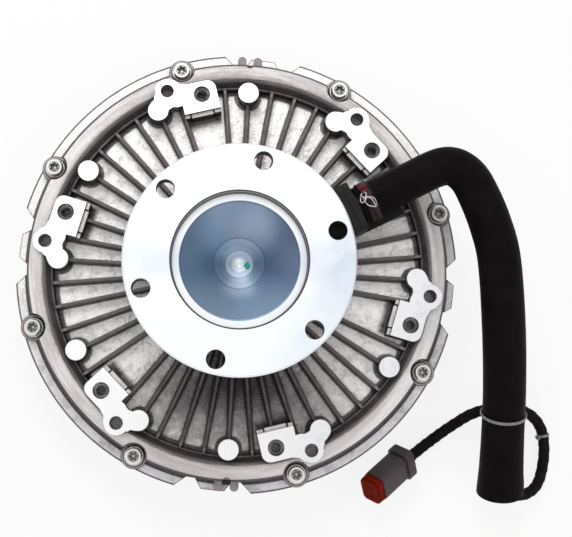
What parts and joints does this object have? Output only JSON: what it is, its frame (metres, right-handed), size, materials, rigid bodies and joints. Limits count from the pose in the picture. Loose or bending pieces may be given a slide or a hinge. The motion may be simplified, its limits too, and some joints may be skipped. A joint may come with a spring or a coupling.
{
  "type": "viscous fan clutch",
  "caption": "Electronically controlled viscous fan clutch: finned aluminium housing with fan pads, hub flange with pilot bore, and a stationary coil carrier with a hose and a plug",
  "frame": {"origin": "centre of the front cover's boss face, on the axis of rotation, where the clutch rests", "axes": "+Z is the axis of rotation, from the front cover to the hub flange; +X is to the right and +Y is up in the picture"},
  "size_m": [0.324, 0.2681, 0.104],
  "materials": {
    "cast_aluminium": "as-cast aluminium, mottled grey, with bright machined pads",
    "machined_aluminium": "turned aluminium",
    "turned_steel": "fine-turned bright steel",
    "bearing_steel": "ground bearing steel",
    "plain_steel": "pressed steel",
    "spring_steel": "blued spring steel",
    "zinc_steel": "zinc-plated steel",
    "clamp_steel": "spring steel band with a reddish-brown coating",
    "cage_brass": "machined brass",
    "contact_brass": "plated brass",
    "copper_wire": "enamelled copper winding",
    "seal_rubber": "black seal rubber",
    "hose_rubber": "black moulded hose rubber with a soft sheen",
    "red_silicone": "red silicone",
    "lead_jacket": "black lead jacket",
    "black_plastic": "black glass-filled moulding",
    "bearing_plastic": "natural bearing plastic",
    "plug_plastic": "dark warm grey moulding",
    "orange_plastic": "orange-red moulding",
    "tie_plastic": "grey cable-tie plastic"
  },
  "bodies": {
    "housing": {"rear_casing": "cast_aluminium", "front_cover": "cast_aluminium", "casing_seal": "seal_rubber", "cover_screws": "zinc_steel", "reservoir_plate": "plain_steel", "lever_pin": "plain_steel", "wiper_block": "bearing_plastic", "main_bearing_outer": "bearing_steel", "bearing_retaining_ring": "spring_steel", "shaft_seal": "seal_rubber", "tone_ring": "plain_steel"},
    "hub": {"input_shaft": "turned_steel", "rotor": "machined_aluminium", "rotor_nut": "zinc_steel", "main_bearing_inner": "bearing_steel", "carrier_bearing_inner": "bearing_steel", "carrier_retaining_ring": "spring_steel"},
    "main_ball_set": {"main_bearing_balls": "bearing_steel", "main_bearing_cage": "cage_brass"},
    "valve": {"valve_lever": "plain_steel", "armature": "plain_steel", "return_spring": "spring_steel"},
    "carrier": {"carrier_bearing_outer": "bearing_steel", "coil_housing": "black_plastic", "coil_core": "plain_steel", "coil_winding": "copper_wire", "speed_sensor": "black_plastic", "formed_hose": "hose_rubber", "hose_clamp": "clamp_steel", "inner_lead": "lead_jacket", "coil_lead": "lead_jacket", "hose_tie": "tie_plastic", "lead_tie": "tie_plastic", "connector_body": "plug_plastic", "connector_seal": "red_silicone", "wedge_lock": "orange_plastic", "wire_seal": "seal_rubber", "contact_sockets": "contact_brass"},
    "carrier_ball_set": {"carrier_bearing_balls": "bearing_steel", "carrier_bearing_cage": "cage_brass"}
  },
  "joints": [
    {"name": "hub_spin", "type": "hinge", "parent": "housing", "child": "hub", "pos_m": [0, 0, 0.0505], "axis": [0, 0, 1], "continuous": true},
    {"name": "main_balls_spin", "type": "hinge", "parent": "housing", "child": "main_ball_set", "pos_m": [0, 0, 0.0505], "axis": [0, 0, 1], "continuous": true},
    {"name": "carrier_spin", "type": "hinge", "parent": "hub", "child": "carrier", "pos_m": [0, 0, 0.075], "axis": [0, 0, 1], "continuous": true},
    {"name": "carrier_balls_spin", "type": "hinge", "parent": "hub", "child": "carrier_ball_set", "pos_m": [0, 0, 0.075], "axis": [0, 0, 1], "continuous": true},
    {"name": "valve_tilt", "type": "hinge", "parent": "housing", "child": "valve", "pos_m": [0.014, 0, 0.0162], "axis": [0, 1, 0], "range_deg": [-4, 0], "stiffness_Nm_per_rad": 0.2}
  ],
  "couplings": [
    {"joint": "main_balls_spin", "follows": "hub_spin", "ratio": 0.4033},
    {"joint": "carrier_balls_spin", "follows": "carrier_spin", "ratio": 0.5359}
  ]
}
